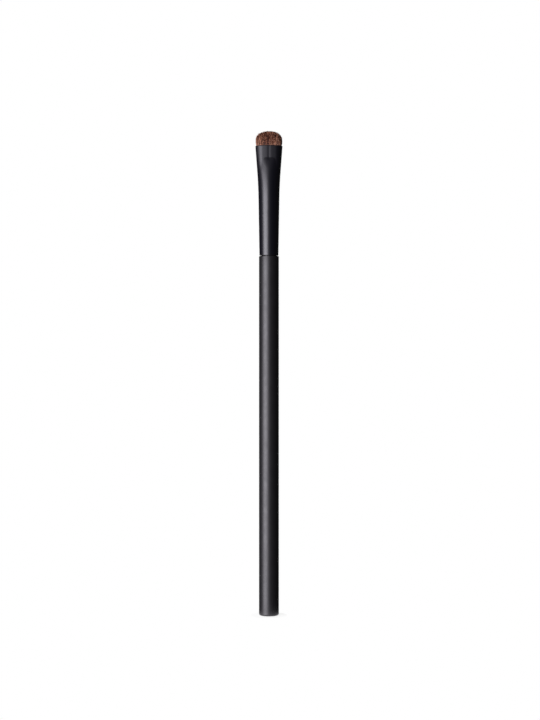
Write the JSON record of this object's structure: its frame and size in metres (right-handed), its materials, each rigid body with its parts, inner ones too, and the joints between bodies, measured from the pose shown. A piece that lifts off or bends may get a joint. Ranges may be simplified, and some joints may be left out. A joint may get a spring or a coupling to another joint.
{
  "type": "blending brush",
  "caption": "Long-handled eye blending brush: straight round stick, tapered ferrule pressed flat at its mouth, and a short domed tuft of hair.",
  "frame": {"origin": "centre of the butt's flat face, which the brush stands on", "axes": "+Z along the handle from the butt to the hair; the ferrule's pressed flats face -Y and +Y, and its mouth is widest along X"},
  "size_m": [0.0098, 0.0076, 0.1739],
  "materials": {
    "soft_touch_black": "soft-touch matt black lacquer on a hardwood stick",
    "black_anodised": "satin black anodising",
    "brown_hair": "natural brown hair, fine and slightly glossy",
    "waxed_thread": "waxed twine",
    "cured_resin": "cured epoxy, amber",
    "clear_adhesive": "cured adhesive film"
  },
  "bodies": {
    "root": {"handle": "soft_touch_black", "tenon_glue": "clear_adhesive", "ferrule": "black_anodised", "hair_tuft": "brown_hair", "hair_knot": "brown_hair", "binding_thread": "waxed_thread", "root_plug": "cured_resin"}
  },
  "joints": []
}
